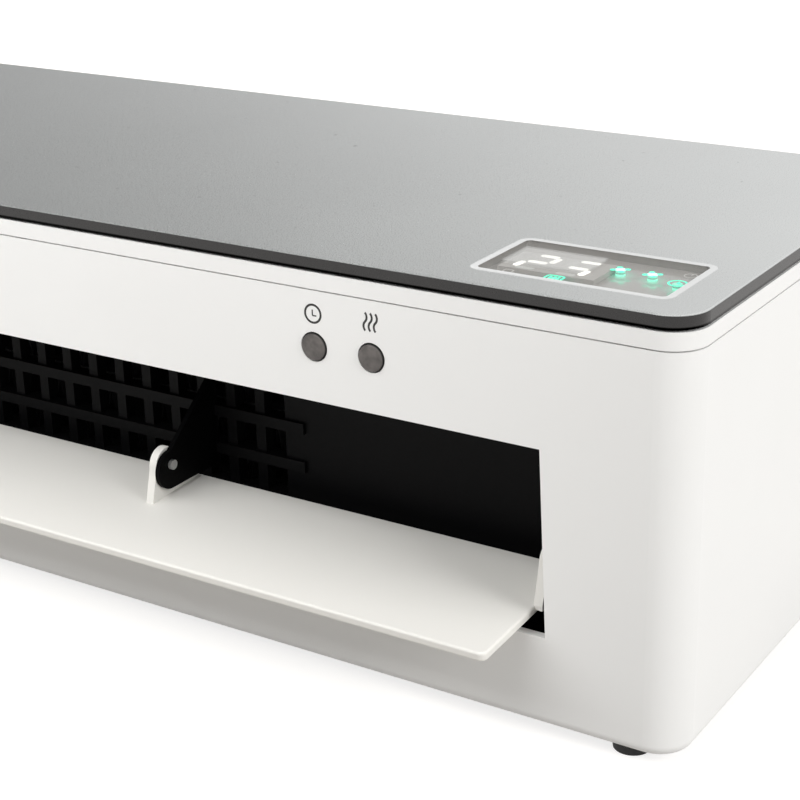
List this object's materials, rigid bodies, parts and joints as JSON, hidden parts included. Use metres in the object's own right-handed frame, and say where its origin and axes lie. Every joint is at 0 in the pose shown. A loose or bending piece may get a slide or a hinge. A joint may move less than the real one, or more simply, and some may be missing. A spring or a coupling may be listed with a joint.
{
  "type": "wall fan heater",
  "caption": "Wall-hung ceramic fan heater lying on its back: flat grey glass front, white housing, swinging air louvre in the outlet, two push buttons and a lit display.",
  "frame": {"origin": "under the middle of the footprint of the housing and the open louvre, on the plane of the feet", "axes": "+X along the outlet towards the display end, -Y out of the outlet, +Z out of the glass front"},
  "size_m": [0.464, 0.1821, 0.12],
  "materials": {
    "housing_white": "satin",
    "rear_white": "fine texture",
    "cover_white": "satin",
    "louvre_white": "satin",
    "panel_grey": "printed on its back",
    "gasket_black": "matte",
    "bezel_silver": "satin",
    "lens_clear": "clear",
    "tray_grey": "matte",
    "digit_grey": "matte",
    "icon_green": "lit",
    "board_green": "matte",
    "receiver_black": "gloss",
    "button_grey": "matte",
    "switch_black": "matte",
    "pin_steel": "bright",
    "bracket_black": "matte",
    "duct_black": "matte",
    "grille_black": "matte",
    "heater_metal": "bare",
    "holder_white": "matte",
    "fan_black": "matte",
    "motor_steel": "galvanised",
    "bush_brass": "bare",
    "rubber_black": "matte",
    "relay_blue": "matte",
    "filter_grey": "matte",
    "rocker_black": "satin"
  },
  "bodies": {
    "body": {"main_housing": "housing_white", "rear_cover": "rear_white", "intake_grille": "rear_white", "front_cover": "cover_white", "glass_panel": "panel_grey", "panel_gasket": "gasket_black", "display_bezel": "bezel_silver", "display_lens": "lens_clear", "display_tray": "tray_grey", "digit_module": "digit_grey", "icon_light_pipes": "icon_green", "display_board": "board_green", "remote_receiver": "receiver_black", "button_switches": "switch_black", "button_board": "board_green", "louvre_bush": "bush_brass", "louvre_motor": "motor_steel", "louvre_bracket_left": "bracket_black", "louvre_bracket_right": "bracket_black", "outlet_duct": "duct_black", "outlet_grille": "grille_black", "heater_bars": "heater_metal", "heater_fins": "heater_metal", "heater_holder_left": "holder_white", "heater_holder_right": "holder_white", "thermal_cutout": "motor_steel", "fan_scroll": "fan_black", "fan_tongue": "fan_black", "fan_motor": "motor_steel", "motor_grommets": "rubber_black", "motor_screws": "pin_steel", "motor_bracket": "motor_steel", "bearing_plate": "motor_steel", "fan_bearing": "bush_brass", "plate_screws": "pin_steel", "power_board": "board_green", "board_screws": "pin_steel", "relays": "relay_blue", "terminal_block": "holder_white", "room_sensor": "switch_black", "power_switch_body": "rocker_black", "mains_gland": "rubber_black", "rubber_feet": "rubber_black", "cover_screws": "pin_steel", "intake_filter": "filter_grey"},
    "louvre_body": {"louvre": "louvre_white", "louvre_pins": "pin_steel", "louvre_drive_shaft": "pin_steel"},
    "fan_body": {"fan_impeller": "fan_black", "motor_shaft": "pin_steel", "motor_rotor": "motor_steel"},
    "timer_body": {"timer_button": "button_grey"},
    "function_body": {"function_button": "button_grey"},
    "rocker_body": {"power_rocker": "rocker_black"}
  },
  "joints": [
    {"name": "louvre_swing", "type": "hinge", "parent": "body", "child": "louvre_body", "pos_m": [0, -0.05742, 0.0456], "axis": [-1, 0, 0], "range_deg": [0, 93.4]},
    {"name": "fan_spin", "type": "hinge", "parent": "body", "child": "fan_body", "pos_m": [0, 0.02608, 0.05826], "axis": [1, 0, 0], "continuous": true},
    {"name": "timer_press", "type": "slide", "parent": "body", "child": "timer_body", "axis": [0, 1, 0], "range_m": [0, 0.0008], "stiffness_N_per_m": 1200},
    {"name": "function_press", "type": "slide", "parent": "body", "child": "function_body", "axis": [0, 1, 0], "range_m": [0, 0.0008], "stiffness_N_per_m": 1200},
    {"name": "power_rocker_tilt", "type": "hinge", "parent": "body", "child": "rocker_body", "pos_m": [-0.2263, 0.04308, 0.0555], "axis": [0, 0, 1], "range_deg": [-18, 0]}
  ]
}
